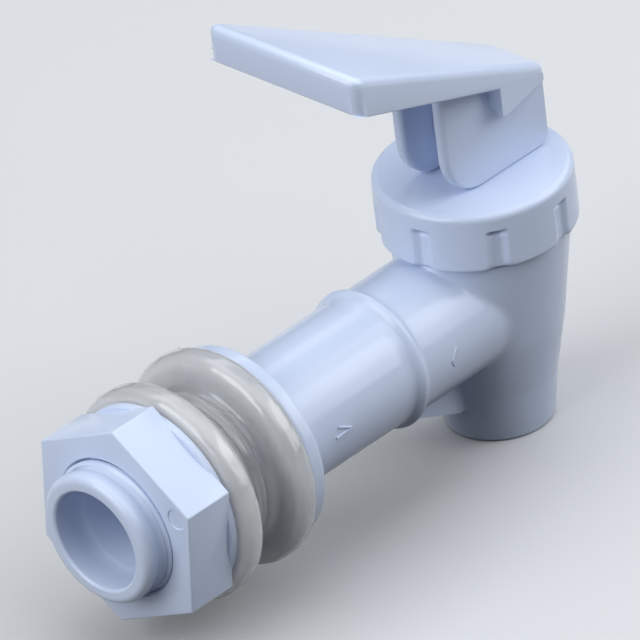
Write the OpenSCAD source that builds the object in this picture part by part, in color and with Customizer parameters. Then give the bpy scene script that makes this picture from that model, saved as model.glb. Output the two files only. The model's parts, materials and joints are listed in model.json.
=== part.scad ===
// Press-lever spigot for a water jug.
// +Z is up, the shank runs along +Y into the jug and the spout hangs at -Y.
// The origin is on the shank's axis, where the rear washer seals on the jug's outer wall.
// All lengths are in millimetres.

/* [Shank and pipe] */
// Outside diameter of the shank's thread
thread_d = 19.8; // [19.3:0.1:20.2]
// Outside diameter of the plain pipe and of the shank's plain end
pipe_d = 19; // [18:0.1:19.2]
// Diameter of the water way through the pipe
bore_d = 13.9; // [11:0.1:14]
// Diameter of the slightly wider mouth of the water way
mouth_d = 14.4; // [14.2:0.1:15]
// Depth of the wider mouth
mouth_depth = 4.8; // [3:0.1:8]
// Length of the shank in front of the flange
shank_len = 26.8; // [25:0.1:32]
// Length of the plain end past the thread
pilot_len = 5; // [3:0.1:6]
// Radius of the rounded lip at the shank's end
lip_round = 1.1; // [0.6:0.1:1.3]
// Distance from the barrel's axis to the back of the flange
reach = 47; // [40:0.5:60]
// Diameter of the flange
flange_d = 28.8; // [26:0.1:31]
// Thickness of the flange
flange_t = 2.6; // [1.6:0.1:4]
// Radius of the flange's rounded outer edges
flange_round = 0.5; // [0.2:0.1:0.7]
// Radius of the hollow fillet behind the flange
flange_fillet = 0.8; // [0.3:0.1:2]
// Diameter of the raised rib ring round the pipe
ring_d = 20.7; // [19.8:0.1:22]
// Width of the rib ring
ring_w = 2.2; // [1.2:0.1:4]
// Distance from the barrel's axis to the middle of the rib ring
ring_at = 22.9; // [18:0.1:30]
// Thickness of the web under the pipe
web_t = 3.6; // [2:0.1:6]
// Depth at which the web meets the barrel, below the pipe's axis
web_drop = 15.4; // [12:0.1:17]

/* [Washers] */
// Diameter of each silicone washer
washer_d = 31.4; // [29:0.1:34]
// Thickness of the washer's disc
washer_t = 3.8; // [2.5:0.1:5]
// Diameter of the hub that centres the washer in the wall's hole
hub_d = 22.2; // [21.8:0.1:24]
// Length of the hub
hub_len = 3.2; // [2.6:0.1:5]
// Radius of the washer's rounded rim
washer_round = 1.7; // [0.3:0.1:1.8]
// Radius of the fillet where the hub meets the disc
hub_fillet = 1.3; // [0.3:0.1:1.4]
// Height of the small sealing ridge round the hub
ridge_h = 0.3; // [0.1:0.05:0.5]
// Diametral clearance of the washers on the thread
washer_play = 0.3; // [0.2:0.05:0.6]
// Gap between the two hubs
hub_gap = 0.1; // [0.05:0.05:0.3]

/* [Lock nut] */
// Width of the nut across its flats
nut_af = 26.7; // [25:0.1:30]
// Height of the nut's hexagon
nut_h = 7.9; // [6:0.1:9]
// Diameter of the round bearing face on the nut's back
nut_face_d = 28.3; // [27:0.1:30]
// Height of the round bearing face
nut_face_t = 0.5; // [0.3:0.1:1]
// Turn of the hexagon about the shank
nut_turn = 24.3; // [0:0.1:60]
// Depth of the chamfer in the nut's bore
nut_chamfer = 0.45; // [0.2:0.05:0.8]
// Gap between the nut and the washer it presses on
nut_gap = 0.1; // [0.05:0.05:0.3]
// Diametral clearance of the nut on the thread
nut_play = 0.16; // [0.1:0.02:0.2]

/* [Barrel and spout] */
// Diameter of the barrel at the shoulder under the cap
barrel_d = 25; // [24:0.1:27]
// Height of that shoulder above the pipe's axis
shoulder_z = 9.8; // [9:0.1:12]
// Diameter of the barrel where its steep taper starts
waist_d = 20.6; // [20.2:0.1:22]
// Depth of that place below the pipe's axis
waist_z = 5.2; // [4:0.1:7]
// Diameter where the steep taper ends in the spout
throat_d = 17.3; // [16.6:0.1:18.5]
// Depth of that place below the pipe's axis
throat_z = 13.1; // [12:0.1:15]
// Outside diameter of the spout's end
spout_d = 15.4; // [14.8:0.1:16.5]
// Depth of the spout's end below the pipe's axis
spout_z = 20.5; // [19:0.1:28]
// Radius of the spout's rounded rim
spout_round = 0.5; // [0.2:0.1:0.8]
// Diameter of the spout's bore
outlet_d = 11.6; // [9:0.1:12]
// Length of the spout's bore
outlet_len = 7.8; // [5:0.1:8]
// Diameter of the valve seat's hole
seat_hole_d = 10; // [8:0.1:10.4]
// Height of the seat's raised lip
seat_lip_h = 0.8; // [0.4:0.1:1.2]
// Width of the seat's raised lip
seat_lip_w = 0.8; // [0.5:0.1:1.2]
// Depth of the chamber's floor below the pipe's axis
floor_z = 11; // [10.6:0.1:11.4]
// Diameter of the chamber's lower part
well_d = 14.6; // [14.2:0.1:15]
// Height at which the lower part ends, below the pipe's axis
well_z = 3; // [2.6:0.1:4]
// Diameter of the chamber's upper part
chamber_d = 17.2; // [16:0.1:18]
// Diameter of the neck that the cap screws on
neck_d = 22.4; // [21.5:0.1:23]
// Height of the neck above the shoulder
neck_h = 5.7; // [5:0.1:7]

/* [Cap] */
// Diameter of the cap
cap_d = 27.4; // [27:0.1:30]
// Height of the cap's skirt and top together
cap_h = 8.7; // [8:0.1:10]
// Gap between the cap's skirt and the barrel's shoulder
cap_gap = 0.3; // [0.2:0.05:0.6]
// Thickness of the cap's top
cap_top_t = 2.3; // [1.8:0.1:2.6]
// Radius of the cap's rounded top edge
cap_round = 1; // [0.5:0.1:1.6]
// Diametral clearance between the cap's skirt and the neck
cap_play = 0.3; // [0.2:0.05:0.6]
// Number of grip grooves round the cap
grips = 8; // [6:1:10]
// Width of a grip groove
grip_w = 2; // [1.2:0.1:2.6]
// Depth of a grip groove
grip_depth = 0.7; // [0.4:0.05:0.9]
// Distance from the cap's top to the grooves
grip_drop = 2.6; // [1.6:0.1:3.5]
// Turn of the grooves from the shank's direction
grip_turn = 10.5; // [0:0.5:45]
// Diameter of the boss that guides the stem inside the cap
boss_d = 13.6; // [12.6:0.1:14]
// Length of that boss below the cap's top plate
boss_len = 2.5; // [2:0.1:3]
// Width of the gasket that seals the cap
gasket_w = 2.3; // [1.6:0.1:2.5]

/* [Stem and valve] */
// Diameter of the stem
stem_d = 7.2; // [6.6:0.1:7.6]
// Diametral clearance of the stem in the cap
stem_play = 0.16; // [0.1:0.02:0.2]
// Width of the stem's flat tongue between the lever's cheeks
tongue_w = 5.7; // [5:0.1:6]
// Diameter of the two pivots moulded on the tongue
pivot_d = 3.4; // [3:0.1:3.8]
// Length of each pivot
pivot_len = 1.2; // [0.9:0.1:1.3]
// Diameter of the collar that carries the spring
collar_d = 12.4; // [12:0.1:13]
// Thickness of the collar
collar_t = 1.4; // [1:0.1:2]
// Diameter of the neck that holds the valve plug
plug_neck_d = 4.4; // [4:0.1:5]
// Diameter of the button that keeps the plug on
button_d = 6.6; // [6:0.1:7]
// Height of that button
button_h = 1.6; // [1.2:0.1:2]
// Diameter of the silicone valve plug
plug_d = 13.2; // [12.9:0.1:13.6]
// Thickness of the valve plug
plug_t = 3; // [2.4:0.1:3.4]
// Diametral clearance of the plug on the stem's neck
plug_play = 0.14; // [0.1:0.02:0.2]
// Gap between the plug and what lies above and below it
plug_gap = 0.05; // [0.05:0.01:0.1]
// Wire diameter of the O-ring on the stem
o_ring_w = 1.8; // [1.6:0.1:2]
// Length of round stem between the tongue's flats and the O-ring's groove
o_ring_land = 0.3; // [0.2:0.1:0.5]
// Wire diameter of the return spring
wire_d = 0.9; // [0.7:0.1:1.1]
// Mean diameter of the return spring
spring_d = 10.6; // [10:0.1:11]
// Number of turns of the return spring
spring_turns = 7; // [5:1:8]

/* [Lever] */
// Distance from the pivot's axis to the lever's rear face
lever_rear = 10.4; // [9:0.1:12]
// Distance from the pivot's axis to the lower edge of the paddle's tip
lever_reach = 32.7; // [26:0.1:42]
// Width of the paddle at its rear
paddle_rear_w = 9.7; // [9.6:0.1:11]
// Width of the paddle at its tip
paddle_tip_w = 27.9; // [18:0.1:32]
// Slope of the paddle's top
top_slope = 27.4; // [25:0.1:32]
// Slope of the paddle's underside
under_slope = 24; // [20:0.1:26]
// Height of the paddle's top over the cap at the pivot
paddle_top = 17.5; // [16.5:0.1:20]
// Height of the paddle's underside over the cap at the pivot
paddle_under = 14; // [13.6:0.1:15]
// Lean of the tip's end face, forward towards its lower edge, or towards its upper edge if negative
tip_lean = -0.4; // [-8:0.2:15]
// Radius of the tip's rounded upper edge
tip_round = 1.2; // [0.6:0.1:1.6]
// Radius of the tip's two upright corners
corner_round = 1.7; // [0.6:0.1:2]
// Outside width over the two cheeks
cheek_w = 9.6; // [9.4:0.1:9.6]
// Thickness of each cheek
cheek_t = 1.85; // [1.7:0.05:1.9]
// Distance from the pivot's axis to the cheeks' front face
cheek_front = 9.4; // [8.6:0.1:10]
// Height of the pivot's axis over the cap, and radius of the cheeks' cam corner
pivot_h = 6.5; // [6:0.1:7]
// Angle through which the lever is pressed, which sets how far it lifts the stem
press_angle = 45; // [30:1:45]
// Chamfer at the cheeks' lower rear corner
heel_chamfer = 1.2; // [0.6:0.1:2]
// Height of the side teeth's lower edge over the cap
tooth_z = 9.6; // [8.6:0.1:9.8]
// Distance from the pivot's axis to the side teeth's front edge
tooth_front = 0; // [-3:0.1:2]
// Radius of the side teeth's rounded corner
tooth_round = 1; // [0.5:0.1:1.5]
// Diametral clearance of the pivots in the cheeks
pivot_play = 0.1; // [0.06:0.02:0.2]
// Gap at the end of each pivot
pivot_end_gap = 0.1; // [0.05:0.05:0.2]
// Gap between the lever's cheeks and the cap
lever_gap = 0.05; // [0.05:0.01:0.1]

/* [Hidden] */
$fn = 96;
// Length by which a cut runs past the surface it opens
past = 1;

plastic = [0.90, 0.92, 0.97];
silicone = [0.80, 0.80, 0.79];
steel = [0.72, 0.73, 0.75];

// Places along Y
flange_front = -washer_t;
flange_back = flange_front - flange_t;
axis_y = flange_back - reach;
tube_end = flange_front + shank_len;
thread_end = tube_end - pilot_len;
front_hub_y = hub_len + hub_gap;
front_disc_y = front_hub_y + hub_len;
nut_y = front_disc_y + washer_t + nut_gap;

// Places along Z
cap_bottom = shoulder_z + cap_gap;
cap_top = cap_bottom + cap_h;
cap_inside = cap_top - cap_top_t;
neck_top = shoulder_z + neck_h;
boss_bottom = cap_inside - boss_len;
pivot_z = cap_top + pivot_h;
seat_z = -floor_z + seat_lip_h;
plug_z = seat_z + plug_gap;
collar_z = plug_z + plug_t + plug_gap;
spring_z0 = collar_z + collar_t + plug_gap;
spring_z1 = boss_bottom - plug_gap;

// The cheeks' cam corner lies this far in front of the pivot and lifts the stem as it rolls on the cap
cam_offset = cheek_front - pivot_h;
max_lift = cam_offset * press_angle * PI / 180;
// The tongue's flats reach down to where the cheeks stand on the cap with the stem lifted
flats_z = cap_top - max_lift;
o_ring_z = flats_z - o_ring_land - plug_gap - o_ring_w / 2;

// Points of an arc about (x, y), from angle a0 to a1, both ends included
function arc(x, y, r, a0, a1, steps = 6) =
    [for (i = [0:steps]) let(a = a0 + (a1 - a0) * i / steps) [x + r * cos(a), y + r * sin(a)]];

// Turns a profile of (radius, length) about the shank's axis, with length along +Y
module about_shank() {
    rotate([-90, 0, 0]) rotate_extrude() children();
}

// Moves its children to the barrel's upright axis
module at_barrel() {
    translate([0, axis_y, 0]) children();
}

// Outline in (y, z), drawn w wide across X and centred on it
module across(w) {
    rotate([90, 0, 90]) translate([0, 0, -w / 2]) linear_extrude(w) children();
}

// Outside of the pipe, rib ring, flange and shank as one turned profile
module pipe_outside() {
    ring_y = axis_y + ring_at;
    about_shank() polygon(concat(
        [[0, axis_y], [pipe_d / 2, axis_y]],
        [[pipe_d / 2, ring_y - ring_w / 2], [ring_d / 2, ring_y - ring_w / 4],
         [ring_d / 2, ring_y + ring_w / 4], [pipe_d / 2, ring_y + ring_w / 2]],
        arc(pipe_d / 2 + flange_fillet, flange_back - flange_fillet, flange_fillet, 180, 90),
        arc(flange_d / 2 - flange_round, flange_back + flange_round, flange_round, -90, 0, 4),
        arc(flange_d / 2 - flange_round, flange_front - flange_round, flange_round, 0, 90, 4),
        [[thread_d / 2, flange_front], [thread_d / 2, thread_end - (thread_d - pipe_d) / 2],
         [pipe_d / 2, thread_end]],
        arc(pipe_d / 2 - lip_round, tube_end - lip_round, lip_round, 0, 90),
        [[0, tube_end]]));
}

// Outside of the barrel, the neck and the spout
module barrel_outside() {
    at_barrel() rotate_extrude() polygon(concat(
        [[0, -spout_z]],
        arc(spout_d / 2 - spout_round, spout_round - spout_z, spout_round, -90, 0, 4),
        [[throat_d / 2, -throat_z], [waist_d / 2, -waist_z], [barrel_d / 2, shoulder_z],
         [neck_d / 2, shoulder_z], [neck_d / 2, neck_top], [0, neck_top]]));
}

// Upright web that stiffens the corner between the pipe and the spout
module web() {
    across(web_t) polygon([
        [axis_y, 0], [axis_y + ring_at, 0], [axis_y + ring_at, -pipe_d / 2],
        [axis_y + throat_d / 2, -web_drop], [axis_y, -web_drop]]);
}

// One moulding: shank, flange, pipe, barrel and spout, with the valve seat inside
module tap_body() {
    color(plastic) difference() {
        union() {
            pipe_outside();
            barrel_outside();
            web();
        }
        // Water way through the pipe and its wider mouth
        translate([0, axis_y, 0]) rotate([-90, 0, 0]) cylinder(d = bore_d, h = tube_end - axis_y + past);
        translate([0, tube_end - mouth_depth, 0]) rotate([-90, 0, 0])
            cylinder(d = mouth_d, h = mouth_depth + past);
        at_barrel() {
            // Chamber, with its narrower well round the plug
            translate([0, 0, -well_z]) cylinder(d = chamber_d, h = neck_top + well_z + past);
            difference() {
                translate([0, 0, -floor_z]) cylinder(d = well_d, h = floor_z);
                translate([0, 0, -floor_z - past])
                    cylinder(d = seat_hole_d + 2 * seat_lip_w, h = seat_lip_h + past);
            }
            translate([0, 0, -spout_z - past]) cylinder(d = outlet_d, h = outlet_len + past);
            translate([0, 0, -spout_z]) cylinder(d = seat_hole_d, h = spout_z);
        }
    }
}

// One grip groove, open at the skirt's bottom edge
module grip_groove() {
    translate([cap_d / 2 - grip_depth, -grip_w / 2, cap_bottom - past])
        cube([grip_depth + past, grip_w, cap_h - grip_drop + past]);
}

// Screwed cap: top plate, skirt with grip grooves and a boss that guides the stem
module bonnet_cap() {
    color(plastic) at_barrel() difference() {
        rotate_extrude() polygon(concat(
            [[0, boss_bottom], [boss_d / 2, boss_bottom], [boss_d / 2, cap_inside],
             [(neck_d + cap_play) / 2, cap_inside], [(neck_d + cap_play) / 2, cap_bottom],
             [cap_d / 2, cap_bottom]],
            arc(cap_d / 2 - cap_round, cap_top - cap_round, cap_round, 0, 90),
            [[0, cap_top]]));
        for (i = [0:grips - 1]) rotate(90 + grip_turn + i * 360 / grips) grip_groove();
        translate([0, 0, boss_bottom - past])
            cylinder(d = stem_d + stem_play, h = cap_top - boss_bottom + 2 * past);
    }
}

// Flat ring between the neck's top and the cap
module bonnet_gasket() {
    color(silicone) at_barrel() translate([0, 0, neck_top]) difference() {
        cylinder(d = neck_d, h = cap_inside - neck_top);
        translate([0, 0, -past]) cylinder(d = neck_d - 2 * gasket_w, h = cap_inside - neck_top + 2 * past);
    }
}

// Stem: plug button, neck, spring collar, round shaft with O-ring groove, and flat tongue
module valve_stem() {
    groove_d = stem_d + stem_play - 2 * o_ring_w - 2 * plug_gap;
    button_z = plug_z - plug_gap;
    color(plastic) at_barrel() {
        difference() {
            union() {
                rotate_extrude() polygon([
                    [0, button_z - button_h], [button_d / 2 - button_h / 3, button_z - button_h],
                    [button_d / 2, button_z - button_h / 2], [button_d / 2, button_z],
                    [plug_neck_d / 2, button_z], [plug_neck_d / 2, collar_z],
                    [collar_d / 2, collar_z], [collar_d / 2, collar_z + collar_t],
                    [stem_d / 2, collar_z + collar_t],
                    [stem_d / 2, o_ring_z - o_ring_w / 2 - plug_gap],
                    [groove_d / 2, o_ring_z - o_ring_w / 2 - plug_gap],
                    [groove_d / 2, o_ring_z + o_ring_w / 2 + plug_gap],
                    [stem_d / 2, o_ring_z + o_ring_w / 2 + plug_gap],
                    [stem_d / 2, pivot_z], [0, pivot_z]]);
                translate([-tongue_w / 2, 0, pivot_z]) rotate([0, 90, 0]) cylinder(d = stem_d, h = tongue_w);
            }
            // Flats on both sides of the tongue
            for (side = [-1, 1])
                translate([side * (tongue_w / 2 + stem_d / 2), 0, flats_z + stem_d])
                    cube([stem_d, 2 * stem_d, 2 * stem_d], center = true);
        }
        // Pivots that snap into the lever's cheeks
        translate([-tongue_w / 2 - pivot_len, 0, pivot_z]) rotate([0, 90, 0])
            cylinder(d = pivot_d, h = tongue_w + 2 * pivot_len);
    }
}

// O-ring in the stem's groove
module stem_o_ring() {
    color(silicone) at_barrel() translate([0, 0, o_ring_z]) rotate_extrude()
        translate([(stem_d + stem_play) / 2 - o_ring_w / 2 - plug_gap / 2, 0]) circle(d = o_ring_w, $fn = 32);
}

// Silicone plug that closes the seat
module valve_plug() {
    edge = plug_t / 5;
    color(silicone) at_barrel() difference() {
        translate([0, 0, plug_z]) rotate_extrude() polygon(concat(
            [[0, 0]], arc(plug_d / 2 - edge, edge, edge, -90, 0, 4),
            arc(plug_d / 2 - edge, plug_t - edge, edge, 0, 90, 4), [[0, plug_t]]));
        translate([0, 0, plug_z - past]) cylinder(d = plug_neck_d + plug_play, h = plug_t + 2 * past);
    }
}

// Coil spring between the stem's collar and the cap's boss
module return_spring() {
    steps = 14;
    sides = 6;
    rise = spring_z1 - spring_z0 - wire_d;
    rings = spring_turns * steps;
    points = [for (i = [0:rings], k = [0:sides - 1])
        let(a = 360 * i / steps, b = 360 * k / sides, r = spring_d / 2 + wire_d / 2 * cos(b))
        [r * cos(a), r * sin(a), spring_z0 + wire_d / 2 + rise * i / rings + wire_d / 2 * sin(b)]];
    walls = [for (i = [0:rings - 1], k = [0:sides - 1])
        [i * sides + k, (i + 1) * sides + k, (i + 1) * sides + (k + 1) % sides, i * sides + (k + 1) % sides]];
    ends = [[for (k = [0:sides - 1]) k], [for (k = [sides - 1:-1:0]) rings * sides + k]];
    color(steel) at_barrel() polyhedron(points = points, faces = concat(walls, ends));
}

// Height of the paddle's top and underside over the cap, at a distance y from the pivot's axis
function top_at(y) = paddle_top + y * tan(top_slope);
function under_at(y) = paddle_under + y * tan(under_slope);
function middle_at(y) = (top_at(y) + under_at(y)) / 2;
// Distances from the pivot to the tip's upper edge, before it is rounded, and to the tip's front
tip_y = (lever_reach + (under_at(lever_reach) - paddle_top) * tan(tip_lean))
    / (1 + tan(top_slope) * tan(tip_lean));
front_y = max(tip_y, lever_reach);

// Paddle's side outline in (y, z), with its upper tip edge rounded
module paddle_profile() {
    // The round's centre lies on the line that halves the corner's angle
    corner = 90 - top_slope + tip_lean;
    inward = 180 + top_slope + corner / 2;
    run = tip_round / sin(corner / 2);
    polygon(concat(
        [[-lever_rear, under_at(-lever_rear)], [lever_reach, under_at(lever_reach)]],
        arc(tip_y + run * cos(inward), top_at(tip_y) + run * sin(inward), tip_round,
            tip_lean, 90 + top_slope),
        [[-lever_rear, top_at(-lever_rear)]]));
}

// Side tooth's outline: a web under the paddle's rear half, with a rounded front corner
module tooth_profile() {
    polygon(concat(
        [[-lever_rear, middle_at(-lever_rear)], [-lever_rear, tooth_z]],
        arc(tooth_front - tooth_round, tooth_z + tooth_round, tooth_round, -90, 0),
        [[tooth_front, middle_at(tooth_front)]]));
}

// Cheek's outline: flat foot, cam corner in front and a small chamfer at the heel
module cheek_profile() {
    polygon(concat(
        [[-lever_rear, middle_at(-lever_rear)], [-lever_rear, lever_gap + heel_chamfer],
         [-lever_rear + heel_chamfer, lever_gap]],
        arc(cam_offset, pivot_h, pivot_h - lever_gap, -90, 0, 12),
        [[cheek_front - lever_gap, middle_at(cheek_front)]]));
}

// Paddle's outline seen from above, with rounded corners at the tip
module plan_outline() {
    side_turn = atan((paddle_tip_w - paddle_rear_w) / 2 / (front_y + lever_rear));
    corner = arc(paddle_tip_w / 2 - corner_round * (tan(side_turn) + 1 / cos(side_turn)),
                 front_y - corner_round, corner_round, -side_turn, 90);
    polygon(concat(
        [[-paddle_rear_w / 2, -lever_rear], [paddle_rear_w / 2, -lever_rear]], corner,
        [for (i = [len(corner) - 1:-1:0]) [-corner[i][0], corner[i][1]]]));
}

// Lever: wedge paddle, two side teeth and two cheeks with blind sockets for the pivots
module lever_handle() {
    cheek_x = (cheek_w - cheek_t) / 2;
    socket_x = tongue_w / 2 + pivot_len + pivot_end_gap;
    color(plastic) at_barrel() translate([0, 0, cap_top]) difference() {
        union() {
            intersection() {
                union() {
                    across(paddle_tip_w) paddle_profile();
                    difference() {
                        across(paddle_tip_w) tooth_profile();
                        translate([-cheek_x, -lever_rear - past, 0])
                            cube([2 * cheek_x, 2 * lever_rear, middle_at(0)]);
                    }
                }
                linear_extrude(top_at(front_y)) plan_outline();
            }
            for (side = [-1, 1]) translate([side * cheek_x, 0, 0]) across(cheek_t) cheek_profile();
        }
        translate([-socket_x, 0, pivot_h]) rotate([0, 90, 0])
            cylinder(d = pivot_d + pivot_play, h = 2 * socket_x);
    }
}

// Silicone washer: disc behind y = 0 and hub in front of it
module washer() {
    bore_r = (thread_d + washer_play) / 2;
    hub_r = hub_d / 2;
    rim = washer_d / 2 - washer_round;
    color(silicone) about_shank() polygon(concat(
        [[bore_r, -washer_t]],
        arc(rim, washer_round - washer_t, washer_round, -90, 0),
        arc(rim, -washer_round, washer_round, 0, 90),
        arc(hub_r + hub_fillet, hub_fillet, hub_fillet, 270, 180),
        [[hub_r, hub_len / 2 - ridge_h], [hub_r + ridge_h, hub_len / 2],
         [hub_r, hub_len / 2 + ridge_h], [hub_r, hub_len - ridge_h],
         [hub_r - ridge_h, hub_len], [bore_r, hub_len]]));
}

module rear_washer() {
    washer();
}

module front_washer() {
    translate([0, front_disc_y, 0]) mirror([0, 1, 0]) washer();
}

// Hexagonal lock nut with a round bearing face on its back
module lock_nut() {
    height = nut_face_t + nut_h;
    hole_d = thread_d + nut_play;
    // Width of the 45 degree chamfer's cutting cone where it starts, outside the nut
    wide_d = hole_d + 2 * (nut_chamfer + past);
    color(plastic) translate([0, nut_y, 0]) rotate([-90, 0, 0]) difference() {
        union() {
            cylinder(d = nut_face_d, h = 2 * nut_face_t);
            translate([0, 0, nut_face_t]) rotate(nut_turn) cylinder(d = nut_af / cos(30), h = nut_h, $fn = 6);
        }
        translate([0, 0, -past]) cylinder(d = hole_d, h = height + 2 * past);
        for (end = [0, 1]) translate([0, 0, end * height]) mirror([0, 0, end])
            translate([0, 0, -past]) cylinder(d1 = wide_d, d2 = hole_d, h = nut_chamfer + past);
    }
}

tap_body();
bonnet_cap();
bonnet_gasket();
valve_stem();
stem_o_ring();
valve_plug();
return_spring();
lever_handle();
rear_washer();
front_washer();
lock_nut();
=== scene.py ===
import json
import math

import bmesh
import bpy
from mathutils import Matrix, Vector


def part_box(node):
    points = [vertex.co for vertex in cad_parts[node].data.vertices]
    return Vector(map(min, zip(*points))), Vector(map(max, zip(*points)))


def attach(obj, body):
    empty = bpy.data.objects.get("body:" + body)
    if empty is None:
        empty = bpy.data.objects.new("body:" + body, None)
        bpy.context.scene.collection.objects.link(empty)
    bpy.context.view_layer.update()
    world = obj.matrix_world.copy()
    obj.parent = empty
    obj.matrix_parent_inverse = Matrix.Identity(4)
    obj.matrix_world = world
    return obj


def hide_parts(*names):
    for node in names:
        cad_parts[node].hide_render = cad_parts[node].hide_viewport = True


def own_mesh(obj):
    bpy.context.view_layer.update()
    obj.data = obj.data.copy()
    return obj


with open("model.json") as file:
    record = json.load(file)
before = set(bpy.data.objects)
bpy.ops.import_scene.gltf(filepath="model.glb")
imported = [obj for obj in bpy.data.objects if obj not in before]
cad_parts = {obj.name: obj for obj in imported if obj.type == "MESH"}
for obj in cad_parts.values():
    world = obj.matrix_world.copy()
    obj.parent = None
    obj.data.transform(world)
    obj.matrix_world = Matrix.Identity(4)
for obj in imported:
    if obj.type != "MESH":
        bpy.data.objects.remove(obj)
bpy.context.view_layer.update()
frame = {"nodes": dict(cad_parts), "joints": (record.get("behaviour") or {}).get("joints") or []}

bl_info = {
    "name": "Jug Spigot",
    "version": (1, 0, 0),
    "blender": (4, 5, 0),
    "location": "3D View > Sidebar > Spigot",
    "description": "Moulded press-lever spigot for a water jug, with washers and lock nut",
    "category": "Mesh",
}

# Pieces are shaped in millimetres, and the finished ones are brought down to metres
MM = 0.001
# Steps of a full turn on turned pieces
TURN_STEPS = 160
# Edges that bend more than this stay sharp
SHARP_ANGLE = math.radians(38)
# Points this close are one point: in a line just drawn, in a closed mesh, after a union or cut
SAME_POINT = 0.0001
DOUBLED = 0.0005
WELD = 0.0015


def extent(node):
    """Lowest and highest corner of a frame node, in millimetres."""
    low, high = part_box(node)
    return low / MM, high / MM


BODY_LOW, BODY_HIGH = extent("tap_body")
CAP_LOW, CAP_HIGH = extent("bonnet_cap")
LEVER_TOP = extent("lever_handle")[1].z
REAR_LOW, REAR_HIGH = extent("rear_washer")
FRONT_SEAT = extent("front_washer")[1].y
NUT_LOW, NUT_HIGH = extent("lock_nut")
SPRING_LOW, SPRING_HIGH = extent("return_spring")
# The barrel's upright axis, and the plane where the flange meets the rear washer
AXIS_Y = (CAP_LOW.y + CAP_HIGH.y) / 2
FLANGE_FRONT = REAR_LOW.y
TUBE_END = BODY_HIGH.y
CAP_TOP = CAP_HIGH.z


def length(name, description, millimetres):
    """A size in metres that the panel shows, given in millimetres."""
    return bpy.props.FloatProperty(name=name, description=description, default=millimetres * MM,
                                   min=0, unit="LENGTH", subtype="DISTANCE", precision=5)


def colour(name, description, rgb):
    """A colour that the panel shows."""
    return bpy.props.FloatVectorProperty(name=name, description=description, default=(*rgb, 1),
                                         size=4, min=0, max=1, subtype="COLOR")


def angle(name, description, degrees):
    """An angle that the panel shows, given in degrees."""
    return bpy.props.FloatProperty(name=name, description=description,
                                   default=math.radians(degrees), subtype="ANGLE")


def power(name, description, watts):
    """A light's power that the panel shows."""
    return bpy.props.FloatProperty(name=name, description=description, default=watts,
                                   min=0, unit="POWER")


class BodySizes(bpy.types.PropertyGroup):
    """Sizes of the one-piece tap body."""
    pipe_radius: length("Pipe radius", "Radius of the pipe and of the shank's plain end", 9.5)
    bore_radius: length("Bore radius", "Radius of the water way", 6.95)
    mouth_radius: length("Mouth radius", "Radius of the wider mouth of the water way", 7.2)
    mouth_depth: length("Mouth depth", "Depth of the wider mouth", 4.8)
    collar_length: length("Collar length", "Plain collar in front of the thread's end", 2.5)
    lip_round: length("Lip round", "Radius of the rounded lip at the shank's end", 1.1)
    flange_radius: length("Flange radius", "Radius of the flange", 14.4)
    flange_thickness: length("Flange thickness", "Thickness of the flange", 2.6)
    flange_round: length("Flange round", "Radius of the flange's outer edges", 0.6)
    flange_fillet: length("Flange fillet", "Radius of the hollow fillet behind the flange", 0.8)
    ring_radius: length("Ring radius", "Radius of the rib ring round the pipe", 10.35)
    ring_width: length("Ring width", "Width of the rib ring at its foot", 2.2)
    ring_place: length("Ring place", "Distance from the barrel's axis to the rib ring", 22.9)
    web_thickness: length("Web thickness", "Thickness of the web under the pipe", 3.6)
    web_drop: length("Web drop", "Depth of the web at the barrel, below the pipe's axis", 15.4)
    shoulder_radius: length("Shoulder radius", "Radius of the barrel under the cap", 12.5)
    shoulder_height: length("Shoulder height", "Height of the shoulder over the pipe's axis", 9.8)
    waist_radius: length("Waist radius", "Radius of the barrel where its steep taper starts", 10.3)
    waist_depth: length("Waist depth", "Depth of that place below the pipe's axis", 5.2)
    throat_radius: length("Throat radius", "Radius where the steep taper ends", 8.65)
    throat_depth: length("Throat depth", "Depth of that place below the pipe's axis", 13.1)
    spout_radius: length("Spout radius", "Outside radius of the spout's end", 7.7)
    spout_round: length("Spout round", "Radius of the spout's rim", 0.5)
    outlet_radius: length("Outlet radius", "Radius of the spout's bore", 5.8)
    outlet_length: length("Outlet length", "Length of the spout's bore", 7.8)
    seat_radius: length("Seat radius", "Radius of the valve seat's hole", 5)
    floor_depth: length("Floor depth", "Depth of the chamber's floor below the axis", 11)
    lip_height: length("Seat lip height", "Height of the seat's raised lip", 0.8)
    well_radius: length("Well radius", "Radius of the chamber's lower part", 7.3)
    well_depth: length("Well depth", "Depth at which the chamber widens", 3)
    chamber_radius: length("Chamber radius", "Radius of the chamber's upper part", 8.6)
    neck_radius: length("Neck radius", "Radius of the neck under the cap", 11.2)
    blend: length("Blend", "Reach of the soft fillet between the pipe, barrel and web", 0.55)
    thread_pitch: length("Thread pitch", "Pitch of the shank's thread", 1.8)
    thread_radius: length("Thread radius", "Radius over the thread's crests", 9.9)
    thread_out: length("Thread out", "Length of the thread that stands out of the nut", 0.95)


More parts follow.
